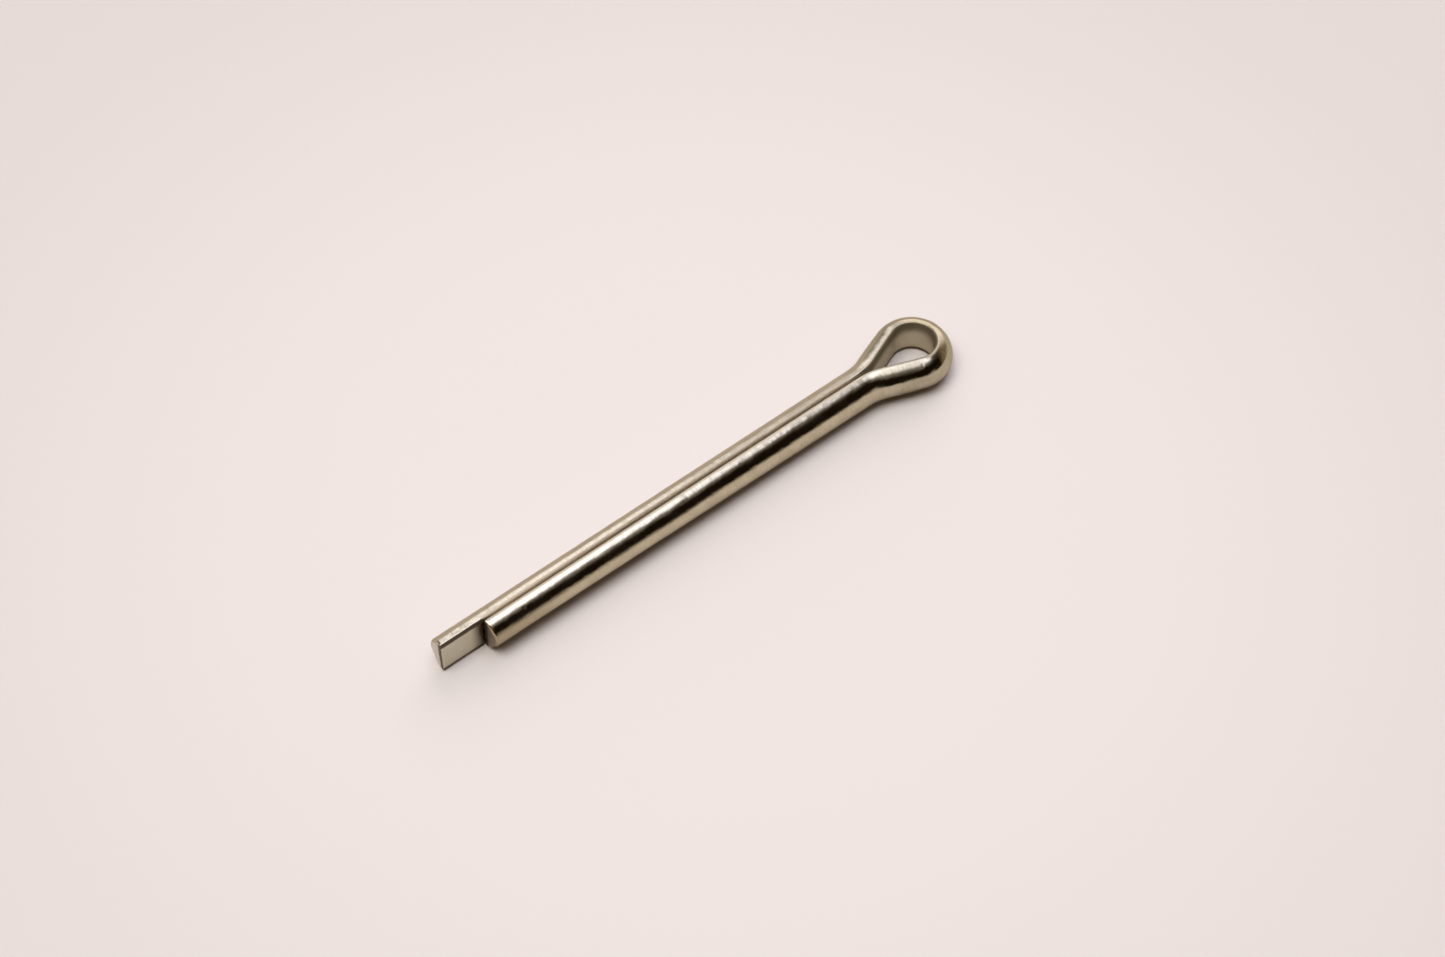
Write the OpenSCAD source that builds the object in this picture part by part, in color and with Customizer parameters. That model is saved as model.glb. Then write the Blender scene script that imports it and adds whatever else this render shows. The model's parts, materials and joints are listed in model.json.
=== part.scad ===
// Cotter pin, also called a split pin: half-round wire folded at its middle into an eye,
// its two legs lying flat against flat so that together they make a round shank.
// It lies on its side: X runs from the tips to the eye, Y is across the legs, Z is up.
// The origin is on the surface it lies on, under the middle of its footprint.

/* [Shank] */
// Diameter over both closed legs
pin_d = 3.5; // [2:0.1:6]
// Gap left between the flats of the two legs
leg_gap = 0.04; // [0.02:0.02:0.4]
// Length of the short leg, from its tip to where the legs part at the neck
short_leg = 38; // [10:1:120]
// How far the long leg reaches past the short one
tip_overhang = 4; // [0:0.5:12]

/* [Wire] */
// Rounding of the two long edges of the half-round wire
edge_r = 0.25; // [0.1:0.05:0.5]
// Bevel round the back of each cut tip
tip_bevel = 0.3; // [0.1:0.05:0.8]

/* [Eye] */
// Radius of the round end of the eye, to the flat inner face of the wire
eye_r = 1.8; // [1.4:0.1:5]
// Angle of each flank of the eye to the shank
flank_angle = 21.5; // [16:0.5:32]
// Radius of the bend where a leg turns into a flank, to the flat face
neck_r = 5.5; // [4:0.5:10]

/* [Hidden] */
$fn = 96;

// Half-round section: its arc is centred on the shank's axis, flat_y from the flat.
// The rounded edges stand a hair proud of the flat and the back, so that they cross both.
hair = 0.0001;
pin_r = pin_d / 2;
flat_y = leg_gap / 2;
wire_t = pin_r - flat_y;
edge_x = flat_y + edge_r - hair;
edge_z = sqrt(pow(pin_r - edge_r + hair, 2) - pow(edge_x, 2));
edge_angle = atan2(edge_z, edge_x);
rest_z = edge_z + edge_r;

// A flank runs from the end of its neck bend to a tangent of the eye's circle
neck_y = flat_y + neck_r;
neck_rise = neck_y - neck_r * cos(flank_angle);
flank_len = (eye_r * cos(flank_angle) - neck_rise) / sin(flank_angle);
neck_to_eye = (neck_r + eye_r) * sin(flank_angle) + flank_len * cos(flank_angle);

// Places along X, with the middle of the whole length at zero
long_leg = short_leg + tip_overhang;
total_len = long_leg + neck_to_eye + eye_r + wire_t;
neck_x = long_leg - total_len / 2;

// Half the neck's bend: the leg leaves it one way by this angle, and the flank the other
half_bend = flank_angle / 2;
// Bends are turned this much too far, and then cut off square where they end
spare_angle = 5;

// Half-round profile with its flat on the Y axis and its back towards +X
module wire_section() {
  reach = 2 * pin_r;
  translate([-flat_y, 0]) {
    intersection() {
      circle(r = pin_r);
      polygon([
        [flat_y, -edge_z], [edge_x, -edge_z],
        reach * [cos(edge_angle), -sin(edge_angle)], [reach, 0],
        reach * [cos(edge_angle), sin(edge_angle)],
        [edge_x, edge_z], [flat_y, edge_z]
      ]);
    }
    for (side = [-1, 1])
      translate([edge_x, side * edge_z]) circle(r = edge_r, $fn = 48);
  }
}

// Straight wire along +X from the origin, with its flat facing -Y
module straight_wire(length) {
  rotate([90, 0, 90]) linear_extrude(height = length) wire_section();
}

// One straight leg, from the neck back to its cut and bevelled tip
module leg(length) {
  translate([-length, 0, 0])
    intersection() {
      translate([0, flat_y, 0]) straight_wire(length);
      rotate([0, 90, 0])
        cylinder(h = length, r1 = pin_r - tip_bevel, r2 = pin_r - tip_bevel + length);
    }
}

// The bend between leg and flank, about the Z axis, with the back of the wire inside it
module neck_bend() {
  difference() {
    rotate([0, 0, -half_bend])
      rotate_extrude(angle = flank_angle + spare_angle, start = 270)
        translate([neck_r, 0]) mirror([1, 0]) wire_section();
    rotate([0, 0, half_bend]) translate([0, -2 * neck_r, -pin_r])
      cube([2 * neck_r, 2 * neck_r, pin_d]);
  }
}

// The round end of the eye about the Z axis, flat face inside, to a little past the middle
module half_bow() {
  rotate_extrude(angle = 90 + flank_angle + spare_angle, start = -flank_angle - spare_angle)
    translate([eye_r, 0]) wire_section();
}

// Leg, neck and flank about the middle of the neck's bend, on the bend's axis
module bent_side(leg_length) {
  rotate([0, 0, -half_bend]) translate([0, -neck_y, 0]) leg(leg_length);
  neck_bend();
  rotate([0, 0, half_bend]) translate([0, -neck_r, 0]) {
    straight_wire(flank_len);
    translate([flank_len, -eye_r, 0]) half_bow();
  }
}

// One side of the pin, from its tip to the middle of the eye, with the neck at the origin
module side(leg_length) {
  intersection() {
    translate([0, neck_y, 0]) rotate([0, 0, half_bend]) bent_side(leg_length);
    translate([-leg_length - pin_d, 0, -pin_d]) cube([2 * total_len, total_len, 2 * pin_d]);
  }
}

// The whole pin in one piece: the long leg is on the +Y side
module cotter_pin() {
  color([0.66, 0.64, 0.60])
    translate([neck_x, 0, rest_z]) {
      side(long_leg);
      mirror([0, 1, 0]) side(short_leg);
    }
}

cotter_pin();
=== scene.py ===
# %% [markdown]
# # A cotter pin
#
# A cotter pin is one length of half-round wire, folded at its middle. The two legs close flat
# against flat into a round shank, and the fold stays open as an eye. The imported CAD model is
# the frame of this scene: it says how large the pin is and where it lies. It is loaded first,
# so that everything made later can take its sizes from it.

# %% Load the frame
import json
import math

import bpy
from mathutils import Matrix, Vector


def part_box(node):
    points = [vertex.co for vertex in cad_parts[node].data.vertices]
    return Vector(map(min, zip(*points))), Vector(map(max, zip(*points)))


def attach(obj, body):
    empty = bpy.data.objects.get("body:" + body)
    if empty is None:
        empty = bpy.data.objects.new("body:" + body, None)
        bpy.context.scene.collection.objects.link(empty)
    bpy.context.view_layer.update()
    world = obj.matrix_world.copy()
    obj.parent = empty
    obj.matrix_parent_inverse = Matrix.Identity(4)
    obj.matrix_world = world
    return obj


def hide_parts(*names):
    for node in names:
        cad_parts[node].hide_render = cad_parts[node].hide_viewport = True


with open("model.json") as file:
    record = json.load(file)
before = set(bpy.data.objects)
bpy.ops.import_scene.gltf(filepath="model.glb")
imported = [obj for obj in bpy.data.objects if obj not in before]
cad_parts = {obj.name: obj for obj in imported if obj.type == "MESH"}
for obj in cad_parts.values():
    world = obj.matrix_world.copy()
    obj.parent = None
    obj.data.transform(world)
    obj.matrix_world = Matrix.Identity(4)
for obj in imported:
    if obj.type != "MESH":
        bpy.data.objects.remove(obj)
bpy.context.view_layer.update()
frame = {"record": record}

# %% [markdown]
# ## Sizes
#
# The sizes could be typed in again, but then this pin could drift away from the CAD's. The
# ones that the frame holds are read from it: the shank's radius and the middle of the eye from
# the record's mounts, and both ends of the pin from its box. Only the few that it doesn't hold
# are written here, as a maker would give them.

# %% Read the pin's sizes
MM = 0.001

mounts = {mount["name"]: mount for mount in frame["record"]["mounts"]}
low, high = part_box("cotter_pin")
shank_radius = mounts["shank"]["dims"]["r_mm"] * MM
eye_x = mounts["eye"]["pos_m"][0]
lying_height = high.z / 2

leg_gap = 0.04 * MM
edge_rounding = 0.25 * MM
neck_radius = 5.5 * MM
tip_overhang = 4 * MM
flank_angle = math.radians(21.5)

wire_depth = shank_radius - leg_gap / 2
eye_radius = high.x - eye_x - wire_depth
print(f"wire {wire_depth / MM:.2f} mm deep, eye {2 * eye_radius / MM:.2f} mm wide inside")

# %% [markdown]
# ## A way to write node trees
#
# Both the shape and the finish are node trees. Wiring nodes one by one hides the sums that
# they do, so a small class wraps a socket and overloads the operators: an expression on
# sockets adds the Math nodes for it.

# %% Sockets as values


class Socket:
    """A value in a node tree. Sums on it add Math nodes to the tree."""

    def __init__(self, graph, output):
        self.graph = graph
        self.output = output

    def __add__(self, other):
        return self.graph.maths("ADD", self, other)

    def __radd__(self, other):
        return self.graph.maths("ADD", other, self)

    def __sub__(self, other):
        return self.graph.maths("SUBTRACT", self, other)

    def __rsub__(self, other):
        return self.graph.maths("SUBTRACT", other, self)

    def __mul__(self, other):
        return self.graph.maths("MULTIPLY", self, other)

    def __rmul__(self, other):
        return self.graph.maths("MULTIPLY", other, self)

    def __truediv__(self, other):
        return self.graph.maths("DIVIDE", self, other)

    def __rtruediv__(self, other):
        return self.graph.maths("DIVIDE", other, self)

    def __neg__(self):
        return self.graph.maths("MULTIPLY", self, -1)


print("sums on sockets add nodes")

# %% [markdown]
# Every other node comes from one method, which takes the node's type, its settings and what
# goes into its sockets. The short names below it save typing for the nodes that come back
# again and again: a smooth step, a mix of two colours, soft noise.

# %% Any node from one method


class Graph:
    """A node tree, with one method that adds any node and short names for the common ones."""

    def __init__(self, tree):
        self.tree = tree
        tree.nodes.clear()

    def node(self, kind, settings=(), sockets=(), out=0):
        """Add a node, set it up, fill or link its sockets and return one of its outputs, if any."""
        made = self.tree.nodes.new(kind)
        for name, value in dict(settings).items():
            setattr(made, name, value)
        for name, value in dict(sockets).items():
            if isinstance(value, Socket):
                self.tree.links.new(value.output, made.inputs[name])
            else:
                made.inputs[name].default_value = value
        return Socket(self, made.outputs[out]) if made.outputs else made

    def maths(self, operation, *values):
        return self.node("ShaderNodeMath", {"operation": operation}, enumerate(values))

    def vector(self, operation, *values, out=0):
        return self.node("ShaderNodeVectorMath", {"operation": operation}, enumerate(values), out)

    def split(self, vector):
        """The X, Y and Z of a vector."""
        parts = self.node("ShaderNodeSeparateXYZ", sockets={"Vector": vector}).output.node
        return [Socket(self, output) for output in parts.outputs]

    def joined(self, x, y, z):
        return self.node("ShaderNodeCombineXYZ", sockets={"X": x, "Y": y, "Z": z})

    def ramp(self, value, start, end):
        """A smooth step: 0 at start, 1 at end. The start may be the larger of the two."""
        limits = {"Value": value, "From Min": start, "From Max": end}
        return self.node("ShaderNodeMapRange", {"interpolation_type": "SMOOTHSTEP"}, limits)

    def ramp_cells(self, at, first, cells):
        """How far `at` has come through a run of cells: 0 before its first, 1 after its last."""
        return self.node("ShaderNodeClamp", sockets={"Value": (at - first) / cells})

    def between(self, share, first, second):
        """A mix of two colours: all first at share 0, all second at 1."""
        colours = {"Factor": share, 6: first, 7: second}
        return self.node("ShaderNodeMix", {"data_type": "RGBA"}, colours, out=2)

    def noise(self, place, grain, detail=2):
        """Soft noise from 0 to 1. The grain is the size of its blobs along each axis, in mm."""
        scaled = self.vector("DIVIDE", place, [MM * blob for blob in grain])
        sockets = {"Vector": scaled, "Scale": 1, "Detail": detail}
        return self.node("ShaderNodeTexNoise", sockets=sockets)


print("nodes come from one method")

# %% [markdown]
# The bends need sines and cosines, of sockets in the node tree and of plain numbers in Python.
# Two small functions take either, so that one formula serves both.

# %% Sines and cosines of either kind


def cos(angle):
    return angle.graph.maths("COSINE", angle) if isinstance(angle, Socket) else math.cos(angle)


def sin(angle):
    return angle.graph.maths("SINE", angle) if isinstance(angle, Socket) else math.sin(angle)


print(f"cosine of the flank's angle: {cos(flank_angle):.3f}")

# %% [markdown]
# ## The camera
#
# The camera looks down on the pin from its near left. A long lens from further away keeps the
# two legs nearly parallel, as a small object looks through a product lens. The camera could
# be turned by hand, but here its place is worked out from a direction, a distance and the
# point that it aims at, so that each number means something.

# %% Set up the camera
IMAGE_WIDTH = 1445
FOCAL_PIXELS = 3268.5
NEAREST_SEEN = 0.01
camera_azimuth = math.radians(-128.93)
camera_elevation = math.radians(53.05)
camera_roll = math.radians(-0.24)
camera_distance = 261.3 * MM
aim = Vector((1.895, -0.117, 1.75)) * MM

back = Vector((
    math.cos(camera_elevation) * math.cos(camera_azimuth),
    math.cos(camera_elevation) * math.sin(camera_azimuth),
    math.sin(camera_elevation),
))
level = Vector((0, 0, 1)).cross(back).normalized()
upright = back.cross(level)
right = math.cos(camera_roll) * level + math.sin(camera_roll) * upright
up = back.cross(right)

camera_data = bpy.data.cameras.new("camera")
camera_data.lens = FOCAL_PIXELS / IMAGE_WIDTH * camera_data.sensor_width
camera_data.clip_start = NEAREST_SEEN
camera = bpy.data.objects.new("camera", camera_data)
bpy.context.collection.objects.link(camera)
turned = Matrix((right, up, back)).transposed().to_4x4()
camera.matrix_world = Matrix.Translation(aim + camera_distance * back) @ turned
bpy.context.scene.camera = camera
print(f"lens {camera_data.lens:.2f} mm at {camera_distance / MM:.0f} mm")

# %% [markdown]
# ## The table
#
# The pin lies on a plain pale table. One large plane is enough. It is matt, so that it shows
# only the soft shadow under the pin, and it is a shade darker away from the pin, as a table
# under a lamp is. More light would make it paler too, but it would bleach the steel.

# %% Lay the table
TABLE_HALF = 3.0
TABLE_WHITE = (0.884, 0.806, 0.773, 1)
TABLE_OUTER = (0.790, 0.716, 0.682, 1)
TABLE_DARKENS = (20 * MM, 85 * MM)

table_mesh = bpy.data.meshes.new("table")
corners = [(-TABLE_HALF, -TABLE_HALF, 0), (TABLE_HALF, -TABLE_HALF, 0),
           (TABLE_HALF, TABLE_HALF, 0), (-TABLE_HALF, TABLE_HALF, 0)]
table_mesh.from_pydata(corners, [], [(0, 1, 2, 3)])
table = bpy.data.objects.new("table", table_mesh)
bpy.context.collection.objects.link(table)

table_paint = bpy.data.materials.new("pale_table")
table_paint.use_nodes = True
graph = Graph(table_paint.node_tree)
spot = graph.node("ShaderNodeTexCoord", out="Object")
from_pin = graph.vector("LENGTH", spot, out="Value")
white = graph.between(graph.ramp(from_pin, *TABLE_DARKENS), TABLE_WHITE, TABLE_OUTER)
matt = graph.node("ShaderNodeBsdfDiffuse", sockets={"Color": white})
graph.node("ShaderNodeOutputMaterial", sockets={"Surface": matt})
table_mesh.materials.append(table_paint)
print(f"table {2 * TABLE_HALF:.0f} m wide")

# %% [markdown]
# ## The light
#
# Bright metal has almost no look of its own: it shows the room. Lamps alone would leave it
# black with a few sparks, so the whole world is the light here, a studio drawn by direction.
# The direction's three parts serve as east, north and height: east is along the shank towards
# the eye, and north is across it, away from the viewer.

# %% Start the studio
world = bpy.data.worlds.new("studio")
world.use_nodes = True
bpy.context.scene.world = world
bpy.context.scene.view_settings.view_transform = "Standard"

graph = Graph(world.node_tree)
direction = graph.node("ShaderNodeTexCoord", out="Generated")
east, north, height = graph.split(direction)
print("the studio is empty")

# %% [markdown]
# Each light is a soft-edged patch of directions, and each patch is laid over the ones before
# it. A pair of numbers says where a patch has faded to nothing and where it is full. The walls
# come first: warm in the west, dark in the east and warm again in the far east. The viewer's
# side is nearly black, which gives each round leg its black band, and its edge slants, so that
# the band widens a little towards the eye.

# %% Paint the walls
NEAR_DARK = (0.012, 0.007, 0.003, 1)
SIDE_LIGHT = (0.32, 0.30, 0.29, 1)
WEST_WARM = (0.22, 0.14, 0.05, 1)
EAST_DARK = (0.10, 0.07, 0.06, 1)
FAR_EAST_DARK = (0.34, 0.27, 0.17, 1)
WALL_WARMS = (0, -0.25)
WALL_DARKENS = (0.3, 0.5)
NEAR_SIDE_ENDS = (-0.62, -0.36)
FAR_EAST_BEGINS = (0.6, 0.85)
SLANT = 0.54
SLANT_MIDDLE = 0.36

slanted = north - SLANT * (graph.maths("MAXIMUM", east, 0) - SLANT_MIDDLE)
wall = graph.between(graph.ramp(east, *WALL_WARMS), SIDE_LIGHT, WEST_WARM)
wall = graph.between(graph.ramp(east, *WALL_DARKENS), wall, EAST_DARK)
room = graph.between(graph.ramp(slanted, *NEAR_SIDE_ENDS), NEAR_DARK, wall)
room = graph.between(graph.ramp(east, *FAR_EAST_BEGINS), room, FAR_EAST_DARK)
print("walls painted")

# %% [markdown]
# A tall window stands to the north. It lights the far leg's back and throws the shadow towards
# the viewer. It is brightest where the tips mirror it, dimmest where the middle of the shank
# does, and brighter again towards the eye.

# %% Open the window
WINDOW_LIGHT = (2.55, 2.60, 3.10, 1)
MIDDLE_WINDOW_LIGHT = (1.06, 1.03, 1.16, 1)
EAST_WINDOW_LIGHT = (1.78, 1.68, 1.70, 1)
WEST_DARK = (0.30, 0.28, 0.26, 1)
MIDDLE_BEGINS = (0.30, 0.40)
EAST_BEGINS = (0.44, 0.56)
WINDOW_BEGINS = (0.23, 0.33)
SILL = (-0.20, 0.28)
SILL_SHIFT = 0.08
SILL_SHIFTS = (0.42, 0.56)

window = graph.between(graph.ramp(east, *MIDDLE_BEGINS), WINDOW_LIGHT, MIDDLE_WINDOW_LIGHT)
window = graph.between(graph.ramp(east, *EAST_BEGINS), window, EAST_WINDOW_LIGHT)
window = graph.between(graph.ramp(east, *WINDOW_BEGINS), WEST_DARK, window)
from_sill = north - SILL_SHIFT * graph.ramp(east, *SILL_SHIFTS)
room = graph.between(graph.ramp(from_sill, *SILL), room, window)
print("window open")

# %% [markdown]
# A soft panel hangs overhead. The near leg mirrors it as its long white line, so the panel's
# edge towards the viewer is the line's lower edge, and it slants as the dark side's does. An
# area lamp could stand in for it, but the mirror image of a lamp has hard edges.

# %% Hang the panel
PANEL_LIGHT = (2.9, 3.1, 4.0, 1)
PANEL_END_LIGHT = (1.9, 1.95, 2.3, 1)
PANEL_NEAR_EDGE = (-0.38, -0.14)
PANEL_FAR_EDGE = (0.24, 0.04)
PANEL_WEST_EDGE = (-0.15, 0.05)
PANEL_EAST_EDGE = (0.47, 0.31)
PANEL_BRIGHTENS = (0.22, 0.32)

panel_share = graph.ramp(slanted, *PANEL_NEAR_EDGE) * graph.ramp(north, *PANEL_FAR_EDGE)
panel_share = panel_share * graph.ramp(east, *PANEL_WEST_EDGE)
panel_share = panel_share * graph.ramp(east, *PANEL_EAST_EDGE)
panel = graph.between(graph.ramp(east, *PANEL_BRIGHTENS), PANEL_END_LIGHT, PANEL_LIGHT)
room = graph.between(panel_share, room, panel)
print("panel hung")

# %% [markdown]
# The lamp is the strongest light, a little west of the zenith. No long face of the pin mirrors
# it towards the viewer, so it mostly lights the table. It is slightly warmer on the viewer's
# side.

# %% Hang the lamp
LAMP_LIGHT = (5.4, 5.6, 5.5, 1)
LAMP_WARM = (5.5, 5.3, 5.0, 1)
LAMP_NEAR_EDGE = (-0.38, -0.16)
LAMP_FAR_EDGE = (0.42, 0.10)
LAMP_EAST_EDGE = (0.10, -0.10)
LAMP_WEST_EDGE = (-0.66, -0.40)
LAMP_WARMS = (0.05, -0.3)

lamp_share = graph.ramp(north, *LAMP_NEAR_EDGE) * graph.ramp(north, *LAMP_FAR_EDGE)
lamp_share = lamp_share * graph.ramp(east, *LAMP_EAST_EDGE) * graph.ramp(east, *LAMP_WEST_EDGE)
lamp = graph.between(graph.ramp(north, *LAMP_WARMS), LAMP_LIGHT, LAMP_WARM)
room = graph.between(lamp_share, room, lamp)
print("lamp hung")

# %% [markdown]
# Last comes the haze along the horizon, where the table runs away into the distance. Without
# it the room would meet the table in a hard line, and the steel would mirror that line. The
# haze is low on the viewer's side, and it stands up in two places: in a corner to the viewer's
# right, and straight behind the pin.

# %% Draw the haze
HAZE = (0.72, 0.66, 0.58, 1)
HAZE_HEIGHT = 0.12
CORNER_RISES = 0.28
BACK_RISES = 0.08
FAR_SIDE_RISES = 0.16
CORNER_WEST_EDGE = (0, 0.25)
CORNER_EAST_EDGE = (0.50, 0.26)
VIEWER_SIDE = (-0.2, -0.7)
BACK = (-0.7, -0.2)
FAR_SIDE = (0.55, 0.9)
FAR_SIDE_EAST_EDGE = (0.55, 0.40)

corner_haze = graph.ramp(east, *CORNER_WEST_EDGE) * graph.ramp(east, *CORNER_EAST_EDGE)
corner_haze = corner_haze * graph.ramp(north, *VIEWER_SIDE)
far_haze = graph.ramp(north, *FAR_SIDE) * graph.ramp(east, *FAR_SIDE_EAST_EDGE)
haze_top = HAZE_HEIGHT + CORNER_RISES * corner_haze
haze_top = haze_top + BACK_RISES * graph.ramp(north, *BACK) + FAR_SIDE_RISES * far_haze
room = graph.between(graph.ramp(height, haze_top, 0), room, HAZE)
light = graph.node("ShaderNodeBackground", sockets={"Color": room, "Strength": 1})
graph.node("ShaderNodeOutputWorld", sockets={"Surface": light})
print("studio lit by direction")

# %% [markdown]
# ## The bent wire
#
# The real wire is drawn to a half-round section and bent round a peg. In Blender it could be a
# curve with a bevel object, but its cut tips would have to be added by hand. Here Geometry
# Nodes bend a flat grid: one way along the grid goes along the wire, and the other way goes
# round its section. Both ways are the same walk of straights and bends, so one function draws
# the plan and the section.

# %% Describe the walk


def walk(at, steps, x, y, heading):
    """Go along straights and bends; a step is its cells, its length and its turn to the left.

    It returns where the walk has got to after `at` cells, its heading and the distance gone.
    """
    first = 0
    gone = 0
    for cells, length, turn in steps:
        share = at.graph.ramp_cells(at, first, cells)
        if turn is None:
            x = x + share * length * cos(heading)
            y = y + share * length * sin(heading)
        else:
            radius = length / turn
            swept = heading + share * turn
            x = x + radius * (sin(swept) - sin(heading))
            y = y + radius * (cos(heading) - cos(swept))
            heading = swept
        gone = gone + share * length
        first = first + cells
    return x, y, heading, gone


ROWS = {"bow": 60, "flank": 30, "neck": 20, "leg": 380, "tip": 10, "cut": 8}
COLUMNS = {"flat": 4, "edge": 8, "back": 48}
rows_a_side = sum(ROWS.values())
rows_to_neck = ROWS["bow"] + ROWS["flank"]
rows_before_tip = rows_a_side - ROWS["tip"] - ROWS["cut"]
columns_round = 2 * COLUMNS["flat"] + 2 * COLUMNS["edge"] + COLUMNS["back"]
print(f"{2 * rows_a_side} rows along the wire, {columns_round} cells round it")

# %% [markdown]
# The tree gets its sizes as named inputs, so that the eye or the legs can be changed in one
# place. The long tip stops a hair short of the CAD's, so that rounding in the arithmetic can't
# push it out of the box.

# %% Start the wire's tree
TIP_CLEARANCE = 0.002 * MM

wire_sizes = {
    "Shank radius": shank_radius,
    "Leg gap": leg_gap,
    "Edge rounding": edge_rounding,
    "Eye x": eye_x,
    "Eye radius": eye_radius,
    "Flank angle": flank_angle,
    "Neck radius": neck_radius,
    "Long tip x": low.x + TIP_CLEARANCE,
    "Overhang": tip_overhang,
    "Tip bevel": 0.3 * MM,
    "Flat's bevel": 0.08 * MM,
    "Lying height": lying_height,
    "Bow thinning": 0.15,
    "Belly thinning": 0.20,
    "Ripple": 0.02 * MM,
    "Chatter": 0.004 * MM,
}

wire_tree = bpy.data.node_groups.new("folded_wire", "GeometryNodeTree")
identifiers = {}
for name, value in wire_sizes.items():
    item = wire_tree.interface.new_socket(name, in_out="INPUT", socket_type="NodeSocketFloat")
    item.default_value = value
    identifiers[name] = item.identifier
wire_tree.interface.new_socket("Wire", in_out="OUTPUT", socket_type="NodeSocketGeometry")

graph = Graph(wire_tree)
given = graph.node("NodeGroupInput").output.node
size = {name: Socket(graph, given.outputs[name]) for name in wire_sizes}
print("inputs:", ", ".join(wire_sizes))

# %% [markdown]
# The flat grid has a row for each step along the wire and a column for each step round it.
# Both sides of the pin start at the middle of the bow and end at a tip, so one walk serves
# both, and the sign of the row says which side a point is on.

# %% Lay out the flat grid
rows = 2 * rows_a_side
grid_sizes = {"Size X": rows, "Size Y": columns_round,
              "Vertices X": rows + 1, "Vertices Y": columns_round + 1}
grid = graph.node("GeometryNodeMeshGrid", sockets=grid_sizes)
row, column, _ = graph.split(graph.node("GeometryNodeInputPosition"))
side = graph.maths("SIGN", row)
row_from_bow = graph.maths("ABSOLUTE", row)
print(f"a grid of {rows + 1} by {columns_round + 1} points")

# %% [markdown]
# First the plan, seen from above. Its lengths follow from the bends: the flank is what is left
# between the eye's circle and the neck, and the leg is what is left between the neck and the
# tip. The two sides differ only in how long their legs are.

# %% Walk the plan
angle = size["Flank angle"]
bow_turn = angle + math.pi / 2
flat_y = size["Leg gap"] / 2
neck_fall = size["Neck radius"] * (1 - cos(angle))
flank = (size["Eye radius"] * cos(angle) - flat_y - neck_fall) / sin(angle)
bends_reach = (size["Eye radius"] + size["Neck radius"]) * sin(angle)
neck_x = size["Eye x"] - bends_reach - flank * cos(angle)
long_leg = neck_x - size["Long tip x"]
leg = long_leg - size["Overhang"] * (1 - side) / 2 - size["Tip bevel"]

plan = [
    (ROWS["bow"], size["Eye radius"] * bow_turn, bow_turn),
    (ROWS["flank"], flank, None),
    (ROWS["neck"], size["Neck radius"] * angle, -angle),
    (ROWS["leg"], leg, None),
]
bow_x = size["Eye x"] + size["Eye radius"]
plan_x, plan_y, heading, gone = walk(row_from_bow, plan, bow_x, 0, math.pi / 2)
print("the plan walks bow, flank, neck and leg")

# %% [markdown]
# Next the section. It starts in the middle of the flat, goes up it, turns over the rounded
# edge, follows the round back and returns to where it began. The back is an arc about the
# shank's own middle, so two wires laid flat to flat make a full round.

# %% Walk the section
rounding = size["Edge rounding"]
edge_in = flat_y + rounding
edge_out = size["Shank radius"] - rounding
edge_height = graph.maths("SQRT", edge_out * edge_out - edge_in * edge_in)
edge_angle = graph.maths("ARCTAN2", edge_height, edge_in)
edge_turn = edge_angle - math.pi
back_turn = -2 * edge_angle

section = [
    (COLUMNS["flat"], edge_height, None),
    (COLUMNS["edge"], -rounding * edge_turn, edge_turn),
    (COLUMNS["back"], -size["Shank radius"] * back_turn, back_turn),
    (COLUMNS["edge"], -rounding * edge_turn, edge_turn),
    (COLUMNS["flat"], edge_height, None),
]
depth, rise, facing, _ = walk(column + columns_round / 2, section, 0, 0, math.pi / 2)
print("the section walks flat, edge, back, edge and flat")

# %% [markdown]
# A tip is sheared off, and then its rim wears round: a lot along the back, hardly at all
# along the flat. A Bevel modifier would round it evenly. So each point of the section moves in
# along a quarter circle instead, whose radius depends on which way the point faces.

# %% Round the tips' rims
BACKNESS = (0.3, -0.95)

bevel_turn = graph.ramp_cells(row_from_bow, rows_before_tip, ROWS["tip"]) * (math.pi / 2)
tip_along = size["Tip bevel"] * sin(bevel_turn)
backness = graph.ramp(sin(facing), *BACKNESS)
bevel = size["Flat's bevel"] + (size["Tip bevel"] - size["Flat's bevel"]) * backness
past = graph.maths("MAXIMUM", tip_along - size["Tip bevel"] + bevel, 0)
inset = bevel - graph.maths("SQRT", graph.maths("MAXIMUM", bevel * bevel - past * past, 0))
depth = depth + inset * sin(facing)
rise = rise - inset * cos(facing)
print("rims rounded")

# %% [markdown]
# Then all the points of a tip run together to the middle of its cut face, which closes the
# wire. The cut is also remembered as a number from 0 to 1, because its finish is different.

# %% Close the cuts
CUT_CORE = 0.6 * MM
CUT_FADE_ROWS = 2

cut_start = rows_before_tip + ROWS["tip"]
cut_share = graph.ramp_cells(row_from_bow, cut_start, ROWS["cut"])
depth = depth + (CUT_CORE - depth) * cut_share
rise = rise * (1 - cut_share)
cut = graph.ramp_cells(row_from_bow, cut_start - CUT_FADE_ROWS, CUT_FADE_ROWS)
print("tips closed")

# %% [markdown]
# The wire is a little thinner where it has been bent round the peg, because bending stretches
# its back. The rollers have also left its lower side flatter, more so towards the tips: that
# starts a little above the shank's middle and is full about half way down. Now every point has
# its place. The bow's middle row has no sign of its own, so it is counted with the long side.

# %% Place the points
BELLY_TOP = 0.2
BELLY_FULL = -0.54
MIDDLE_ROW_SHIFT = 0.25

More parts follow.
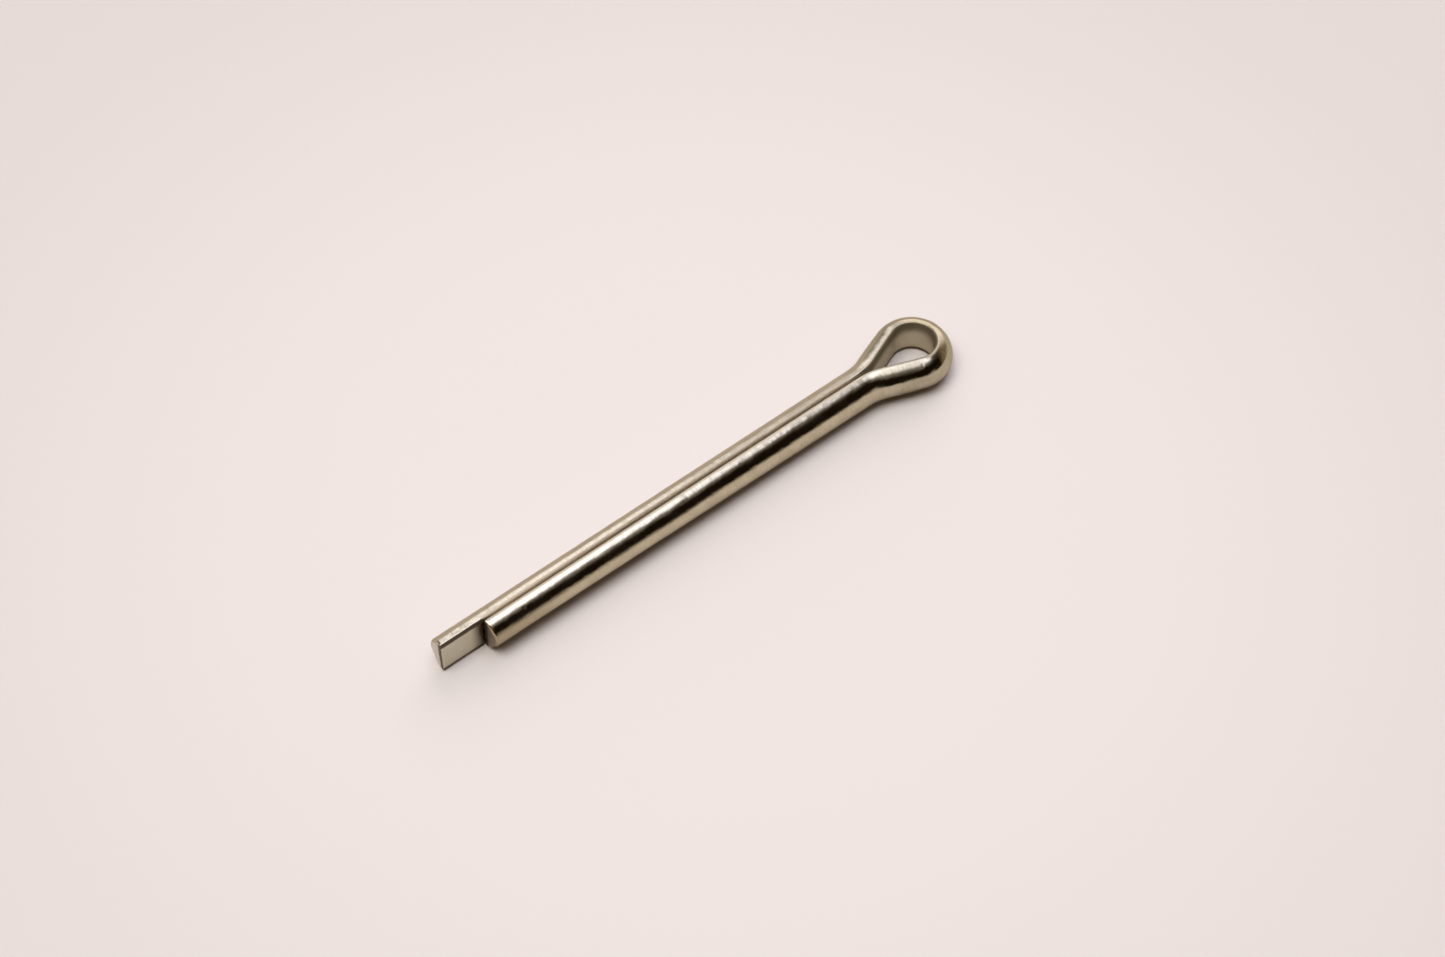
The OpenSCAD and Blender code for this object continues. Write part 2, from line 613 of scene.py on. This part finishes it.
tipward = graph.ramp(row_from_bow, rows_to_neck, rows_before_tip)
underside = graph.ramp(
    rise, size["Shank radius"] * BELLY_TOP, size["Shank radius"] * BELLY_FULL)
belly = size["Belly thinning"] * tipward * underside
thinning = size["Bow thinning"] * graph.ramp(row_from_bow, rows_to_neck, 0)
depth_here = depth * (1 - thinning) * (1 - belly)
x = plan_x + depth_here * sin(heading) - tip_along
y = (plan_y - depth_here * cos(heading)) * graph.maths("SIGN", row + MIDDLE_ROW_SHIFT)
place = graph.joined(x, y, rise + size["Lying height"])
print("every point placed")

# %% [markdown]
# Each point also remembers where it would be if the wire were straightened out again. Drawing
# marks run along the wire, round the bends too, so the finish reads this attribute and not
# the bent shape. It has to be stored while the grid is still flat: a row and a column are read
# from a point's place, and once the grid is bent, that place no longer says them.

# %% Remember the straight wire
straightened = graph.joined((gone + tip_along) * side, depth, rise)
kept = graph.node(
    "GeometryNodeStoreNamedAttribute",
    {"data_type": "FLOAT_VECTOR", "domain": "POINT"},
    {"Geometry": grid, "Name": "straight", "Value": straightened})
kept = graph.node(
    "GeometryNodeStoreNamedAttribute",
    {"data_type": "FLOAT", "domain": "POINT"},
    {"Geometry": kept, "Name": "cut", "Value": cut})
print("stored: straight, cut")

# %% [markdown]
# Now the grid is bent. The walk goes round the section the other way from the grid's own, so
# the faces are flipped to look outwards, and the points that meet along the flat and in the
# middle of each cut are merged, so that the skin is closed.

# %% Bend the grid
WELD = 0.001 * MM

bent = graph.node("GeometryNodeSetPosition", sockets={"Geometry": kept, "Position": place})
flipped = graph.node("GeometryNodeFlipFaces", sockets={"Mesh": bent})
welded = graph.node(
    "GeometryNodeMergeByDistance", sockets={"Geometry": flipped, "Distance": WELD})
print("the grid is bent and closed")

# %% [markdown]
# No wire is perfectly smooth. Rollers and the folding tool leave it gently uneven, and on
# bright metal a few thousandths of a millimetre show as wobbling reflections. So the surface
# itself is moved, always inwards, and the fine grain is left to the material. A Displace
# modifier could move it too, but here the noise can follow the straightened wire.

# %% Make the surface uneven
RIPPLE_GRAIN = (0.9, 0.45, 0.45)
CHATTER_GRAIN = (0.13, 0.35, 0.35)

straight = graph.node(
    "GeometryNodeInputNamedAttribute", {"data_type": "FLOAT_VECTOR"}, {"Name": "straight"})
wobble = graph.noise(straight, RIPPLE_GRAIN, detail=1)
rattle = graph.noise(straight, CHATTER_GRAIN, detail=0)
sunk = size["Ripple"] * wobble + size["Chatter"] * rattle
print("ripple and chatter set")

# %% [markdown]
# The tools have also left a few marks: a nick near the short tip, a scratch over the eye and a
# rub at its neck. They could be sculpted, but a table of them is easier to change. A mark is a
# small dent with its own place on the straightened wire (along it, in from the flat, up from
# the middle), its size each way and its depth, all in millimetres. It fades out a little past
# that size.

# %% Dent the marks
MARKS = {
    "nick": ((-43.8, 0.94, 1.46), (0.16, 0.10, 0.10), 0.020),
    "nick's tail": ((-43.3, 1.02, 1.40), (0.30, 0.07, 0.07), 0.010),
    "scratch's top": ((-3.62, 0.80, 1.53), (0.09, 0.20, 0.16), 0.022),
    "scratch's foot": ((-3.38, 1.14, 1.28), (0.09, 0.22, 0.20), 0.022),
    "rub": ((-7.05, 1.30, 1.15), (0.14, 0.30, 0.34), 0.012),
    "far rub": ((-6.5, 1.28, 1.20), (0.20, 0.16, 0.20), 0.008),
    "tip's dent": ((-45.9, 1.15, 1.28), (0.35, 0.20, 0.20), 0.014),
}
MARK_EDGE = 1.6

for spot, reach, deep in MARKS.values():
    away = graph.vector("SUBTRACT", straight, [MM * v for v in spot])
    away = graph.vector("DIVIDE", away, [MM * v for v in reach])
    away = graph.vector("LENGTH", away, out="Value")
    sunk = sunk + deep * MM * graph.ramp(away, MARK_EDGE, 0)
print(len(MARKS), "marks")

# %% [markdown]
# The sunk depth becomes a move against each point's normal. A move up or down alone would do
# nothing to the wire's sides.

# %% Move the surface in
normal = graph.node("GeometryNodeInputNormal")
inward = graph.vector("MULTIPLY", normal, graph.joined(*[-sunk] * 3))
rippled = graph.node("GeometryNodeSetPosition", sockets={"Geometry": welded, "Offset": inward})
print("surface uneven")

# %% [markdown]
# The tree ends by shading the wire smooth and giving it its material, which is still empty
# here. Realize Instances is there for the export, which would drop any instance.

# %% Finish the tree
wire_steel = bpy.data.materials.new("drawn_wire")
smooth = graph.node("GeometryNodeSetShadeSmooth", sockets={"Geometry": rippled})
solid = graph.node("GeometryNodeRealizeInstances", sockets={"Geometry": smooth})
solid = graph.node(
    "GeometryNodeSetMaterial", sockets={"Geometry": solid, "Material": wire_steel})
graph.node("NodeGroupOutput", sockets={"Wire": solid})
print(len(wire_tree.nodes), "nodes in the wire's tree")

# %% [markdown]
# The tree is run once, and its result becomes a plain mesh, because the export needs real
# vertices that don't depend on a modifier. A modifier's input is set by the identifier of its
# socket, not by its name.

# %% Make the pin's mesh
pin = bpy.data.objects.new("folded_pin", bpy.data.meshes.new("blank"))
bpy.context.collection.objects.link(pin)
bender = pin.modifiers.new("bender", "NODES")
bender.node_group = wire_tree
for name, value in wire_sizes.items():
    bender[identifiers[name]] = value
evaluated = pin.evaluated_get(bpy.context.evaluated_depsgraph_get())
pin_mesh = bpy.data.meshes.new_from_object(evaluated)
pin.modifiers.remove(bender)
pin.data = pin_mesh
pin_mesh.name = "folded_pin"
pin_mesh.calc_loop_triangles()
print(f"{len(pin_mesh.vertices)} vertices, {len(pin_mesh.loop_triangles)} triangles")

# %% [markdown]
# ## The finish
#
# Drawn steel is a smooth metal with fine lines along the wire from the die, faint marks across
# it, dull flats and rougher cut tips. One material holds all of these. They could be painted on
# an image, but masks made from the stored attribute stay sharp at any size. So the finish
# starts by reading where a point is: how far along the wire, how far in from the flat and how
# far above the shank's middle.

# %% Read where a point is
wire_steel.use_nodes = True
graph = Graph(wire_steel.node_tree)
straight = graph.node("ShaderNodeAttribute", {"attribute_name": "straight"}, out="Vector")
cut = graph.node("ShaderNodeAttribute", {"attribute_name": "cut"}, out="Fac")
along, depth, rise = graph.split(straight)
from_bow = graph.maths("ABSOLUTE", along)
long_side = graph.ramp(along, -1 * MM, 1 * MM)
print("the finish reads: straight, cut")

# %% [markdown]
# Some finishes belong to one stretch of the wire. The same sums as in the wire's tree, on
# numbers this time, say how far from the middle of the bow the legs begin and end.

# %% Measure along the wire
bow_length = eye_radius * (flank_angle + math.pi / 2)
neck_drop = neck_radius * (1 - math.cos(flank_angle))
flank_rise = eye_radius * math.cos(flank_angle) - leg_gap / 2 - neck_drop
flank_length = flank_rise / math.sin(flank_angle)
leg_start = bow_length + flank_length + neck_radius * flank_angle

bends_length = (eye_radius + neck_radius) * math.sin(flank_angle)
leg_length = eye_x - bends_length - flank_length * math.cos(flank_angle) - low.x
short_end = leg_start + leg_length - tip_overhang
print(f"legs from {leg_start / MM:.2f} mm, short one to {short_end / MM:.2f} mm")

# %% [markdown]
# The flats were never polished, and nor were the edges where the legs touch. Those make a
# groove, pale and matt, which is darker along the far leg, away from the tips.
# Each could have faces and a material of its own, but a mask fades softly and needs no cut in
# the mesh. A mask is a product of smooth steps, and a pair of numbers is a step's two ends.

# %% Find the flats and the groove
FLAT_DEPTH = (0.10 * MM, 0.02 * MM)
EDGE_DEPTH = (0.34 * MM, 0.22 * MM)
EDGE_HEIGHT = (1.30 * MM, 1.50 * MM)
TOUCH_BEGINS = (leg_start - 1 * MM, leg_start + 2 * MM)
TOUCH_ENDS = (short_end + 0.1 * MM, short_end - 0.2 * MM)
GROOVE_DARKENS = (short_end, short_end - 15 * MM)
SPECKLE_GRAIN = (0.22, 0.15, 0.15)
SPECKLE = (0.38, 0.56)
GROOVE_DARKER_LEAST = 0.55

flat = graph.ramp(depth, *FLAT_DEPTH) * (1 - cut)
off_middle = graph.maths("ABSOLUTE", rise)
edge = graph.ramp(depth, *EDGE_DEPTH) * graph.ramp(off_middle, *EDGE_HEIGHT) * (1 - cut)
touching = graph.ramp(from_bow, *TOUCH_BEGINS) * graph.ramp(from_bow, *TOUCH_ENDS)
groove = edge * touching
speckle = graph.ramp(graph.noise(straight, SPECKLE_GRAIN), *SPECKLE)
groove_darker = groove * graph.ramp(along, *GROOVE_DARKENS) * long_side
groove_darker = groove_darker * (GROOVE_DARKER_LEAST + (1 - GROOVE_DARKER_LEAST) * speckle)
print("flats and groove found")

# %% [markdown]
# The shade that the pin casts on itself is painted into its colour: under the eye's inner rim,
# along every lower edge, low on the back where the wire meets its shadow on the table, and on
# the long leg's bare flat beside the short tip. A painted dark line along the top of that bare
# flat stands in for the dark room that its rounded edge mirrors, and covers the glint there.
# Near its tip the short leg is a little rougher, and darker and browner on its lower part. All
# this could be painted by hand, but each keeps to places that a length, a depth and a height
# describe, so masks put it there without an image.

# %% Find the painted shade and the dull tip
EYE_BEGINS = (leg_start, leg_start - 2 * MM)
RIM_DEPTH = (0.28 * MM, 0.12 * MM)
RIM_HEIGHT = (0.2 * MM, 1.25 * MM)
BARE_BEGINS = (short_end - 0.2 * MM, short_end + 0.1 * MM)
TOP_LINE_DEPTH = (0.20 * MM, 0.08 * MM)
TOP_LINE_HEIGHT = (1.25 * MM, 1.40 * MM)
LOW_LINE_HEIGHT = (-1.20 * MM, -1.42 * MM)
TIP_SHADE_ENDS = (short_end + 1.35 * MM, short_end)
TIP_SHADE_BEGINS = (short_end - 1 * MM, short_end)
FOOT_HEIGHT = (0, -0.85 * MM)
FOOT_DEPTH = (0.5 * MM, 0.9 * MM)
DULL_TIP_BEGINS = (-38 * MM, -46 * MM)
DULL_TIP_HEIGHT = (1.4 * MM, 0.9 * MM)

in_eye = graph.ramp(from_bow, *EYE_BEGINS)
# painted shade under the eye's inner rim, which also dims the glint there
under_rim = graph.ramp(depth, *RIM_DEPTH) * graph.ramp(rise, *RIM_HEIGHT) * in_eye
# painted dark line along the bare flat's top, for the dark room that its rounded edge mirrors
top_line = graph.ramp(depth, *TOP_LINE_DEPTH) * graph.ramp(rise, *TOP_LINE_HEIGHT)
top_line = top_line * graph.ramp(along, *BARE_BEGINS)
# painted shade along every lower edge
low_line = graph.ramp(rise, *LOW_LINE_HEIGHT) * graph.ramp(depth, *EDGE_DEPTH)
painted_dark_line = graph.maths("MAXIMUM", top_line, low_line)
# painted shade on the long leg's bare flat beside the short tip
short_tip_shade = flat * graph.ramp(along, *TIP_SHADE_ENDS) * graph.ramp(along, *TIP_SHADE_BEGINS)
# painted shade low on the back, where the wire meets its shadow on the table
foot = graph.ramp(rise, *FOOT_HEIGHT) * graph.ramp(depth, *FOOT_DEPTH) * (1 - cut)
# darker, browner and a little rougher low on the short leg near its tip
dull_tip = graph.ramp(along, *DULL_TIP_BEGINS) * graph.ramp(rise, *DULL_TIP_HEIGHT)
print("rim, lines, creep, foot and handled patch found")

# %% [markdown]
# Five soft noises make the fine structure. The grain of each is the size of its blobs along
# the wire, in from the flat and up: long and thin gives drawing lines, short and wide gives
# the marks that the rollers left across the wire. In the mesh, relief this fine would need
# millions of faces, so it goes into the bump and the colour.

# %% Make the grain
LINE_GRAIN = (6, 0.03, 0.03)
ROLLER_GRAIN = (0.08, 0.5, 0.5)
FINE_GRAIN = (0.06, 0.06, 0.06)
PATCH_GRAIN = (1.6, 0.8, 0.8)
MOTTLE_GRAIN = (0.12, 0.5, 0.5)
BUMP_HEIGHT = 0.004 * MM
LINES_SHARE = 0.3
ROLLER_SHARE = 0.3
FINE_SHARE = 0.4

lines = graph.noise(straight, LINE_GRAIN, detail=3)
roller_marks = graph.noise(straight, ROLLER_GRAIN)
grain = graph.noise(straight, FINE_GRAIN)
patches = graph.noise(straight, PATCH_GRAIN)
mottle = graph.noise(straight, MOTTLE_GRAIN)
relief = lines * LINES_SHARE + roller_marks * ROLLER_SHARE + grain * FINE_SHARE
bump = graph.node(
    "ShaderNodeBump", sockets={"Strength": 1, "Distance": BUMP_HEIGHT, "Height": relief})
print("five grains made")

# %% [markdown]
# The steel's own colour wavers between two tones. Where the wire was bent, it is a shade
# darker, and a little less so round the bow.

# %% Colour the back
STEEL_DARK = (0.45, 0.385, 0.27, 1)
STEEL_PALE = (0.55, 0.485, 0.355, 1)
BENT_DARK = (0.35, 0.305, 0.21, 1)
BENT_PALE = (0.44, 0.39, 0.285, 1)
PATCH_TONE = 0.4
GRAIN_TONE = 0.25
MOTTLE_TONE = 0.35
TONE_SPREAD = (0.36, 0.64)
BEND_BEGINS = (leg_start, leg_start - 5 * MM)
BOW_ENDS = (2 * MM, 4.5 * MM)
BOW_SHARE = 0.5

tone = patches * PATCH_TONE + grain * GRAIN_TONE + mottle * MOTTLE_TONE
tone = graph.ramp(tone, *TONE_SPREAD)
steel = graph.between(tone, STEEL_DARK, STEEL_PALE)
bent_steel = graph.between(tone, BENT_DARK, BENT_PALE)
worked = BOW_SHARE + (1 - BOW_SHARE) * graph.ramp(from_bow, *BOW_ENDS)
worked = graph.ramp(from_bow, *BEND_BEGINS) * worked
colour = graph.between(worked, steel, bent_steel)
print("back coloured")

# %% [markdown]
# The flats and the groove get their own colours. The flat inside the eye is the browner one,
# and the long leg's bare flat is paler.

# %% Colour the flats and the groove
BARE_FLAT = (0.58, 0.54, 0.43, 1)
EYE_FLAT = (0.45, 0.395, 0.285, 1)
GROOVE_PALE = (0.64, 0.55, 0.42, 1)
GROOVE_DARKER = (0.42, 0.35, 0.26, 1)

flat_colour = graph.between(in_eye, BARE_FLAT, EYE_FLAT)
colour = graph.between(flat, colour, flat_colour)
colour = graph.between(groove, colour, GROOVE_PALE)
colour = graph.between(groove_darker, colour, GROOVE_DARKER)
print("flats and groove coloured")

# %% [markdown]
# The painted shade and the dull tip's tan are laid over the steel as coats of paint would be,
# each in its own brown, and where a coat is thin the steel still shows through. One mix node for
# each coat keeps them easy to change.

# %% Colour the painted shade and the dull tip
RIM_SHADE_BROWN = (0.17, 0.13, 0.075, 1)
DARK_LINE_BROWN = (0.10, 0.065, 0.04, 1)
DULL_TIP_TAN = (0.30, 0.235, 0.14, 1)
FOOT_SHADE_BROWN = (0.09, 0.062, 0.036, 1)
TIP_SHADE_BROWN = (0.10, 0.075, 0.055, 1)
RIM_STRENGTH = 0.4
LINE_STRENGTH = 0.9
DULL_TIP_STRENGTH = 0.6

# painted shade under the eye's inner rim
colour = graph.between(under_rim * RIM_STRENGTH, colour, RIM_SHADE_BROWN)
# painted dark lines: the mirrored dark room on the bare flat's top, painted shade along lower edges
colour = graph.between(painted_dark_line * LINE_STRENGTH, colour, DARK_LINE_BROWN)
# darker and browner low on the short leg near its tip
colour = graph.between(dull_tip * DULL_TIP_STRENGTH, colour, DULL_TIP_TAN)
# painted shade low on the back
colour = graph.between(foot, colour, FOOT_SHADE_BROWN)
# painted shade on the bare flat beside the short tip
colour = graph.between(short_tip_shade, colour, TIP_SHADE_BROWN)
print("painted_shade coloured")

# %% [markdown]
# A shear leaves a torn, grey face. The long tip's face is painted paler, a painted reflection of
# the pale table, and the short one's darker, a painted reflection of the long leg's shaded flat
# beside it. Both have streaks where the metal tore, and each has painted shade in a dark band
# along its flat side. The stored cut tells these faces from the rest, and it fades over the last
# two rows, as the worn rim does.

# %% Colour the cuts
SHORT_CUT_SHADED = (0.34, 0.28, 0.21, 1)
LONG_CUT_LIT = (0.74, 0.70, 0.65, 1)
TORN = (0.55, 0.48, 0.40, 1)
CUT_EDGE_SHADE = (0.12, 0.10, 0.085, 1)
TEAR_GRAIN = (1, 0.10, 0.6)
TEAR_SPREAD = (0.35, 0.6)
TEAR_STRENGTH = 0.35
CUT_EDGE_SHADE_DEPTH = (0.60 * MM, 0.32 * MM)

# painted reflection: paler on the long tip's face, darker on the short one's
cut_colour = graph.between(long_side, SHORT_CUT_SHADED, LONG_CUT_LIT)
tears = graph.ramp(graph.noise(straight, TEAR_GRAIN), *TEAR_SPREAD)
cut_colour = graph.between(tears * TEAR_STRENGTH, cut_colour, TORN)
# painted shade: a dark band along each cut's flat side
cut_colour = graph.between(graph.ramp(depth, *CUT_EDGE_SHADE_DEPTH), cut_colour, CUT_EDGE_SHADE)
colour = graph.between(cut, colour, cut_colour)
print("cuts coloured")

# %% [markdown]
# Roughness says how sharply a face mirrors the room. The back is bright, and its clouds, the
# flats, the groove, the cuts, the dull tip and the places of painted shade add some roughness
# of their own. Metals in Blender turn white towards their outline. Drawn steel stays tinted
# there, so the edge tint is turned down.

# %% Set the roughness and join the finish
BACK_ROUGHNESS = 0.11
CLOUDS = (0.35, 0.65)
EDGE_TINT = (0.70, 0.66, 0.60, 1)
MORE_ROUGH = [
    (graph.ramp(patches, *CLOUDS), 0.05),
    (flat, 0.16),
    (groove, 0.5),
    (cut, 0.3),
    (under_rim, 0.35),
    (painted_dark_line, 0.35),
    (foot, 0.2),
    (dull_tip, 0.08),
]

roughness = BACK_ROUGHNESS
for mask, more in MORE_ROUGH:
    roughness = roughness + mask * more
metal = graph.node("ShaderNodeBsdfPrincipled", sockets={
    "Base Color": colour, "Metallic": 1, "Roughness": roughness, "Normal": bump,
    "Specular Tint": EDGE_TINT})
graph.node("ShaderNodeOutputMaterial", sockets={"Surface": metal})
print(len(wire_steel.node_tree.nodes), "nodes in the finish")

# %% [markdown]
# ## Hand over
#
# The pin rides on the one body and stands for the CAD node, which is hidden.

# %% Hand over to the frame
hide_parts("cotter_pin")
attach(pin, "root")
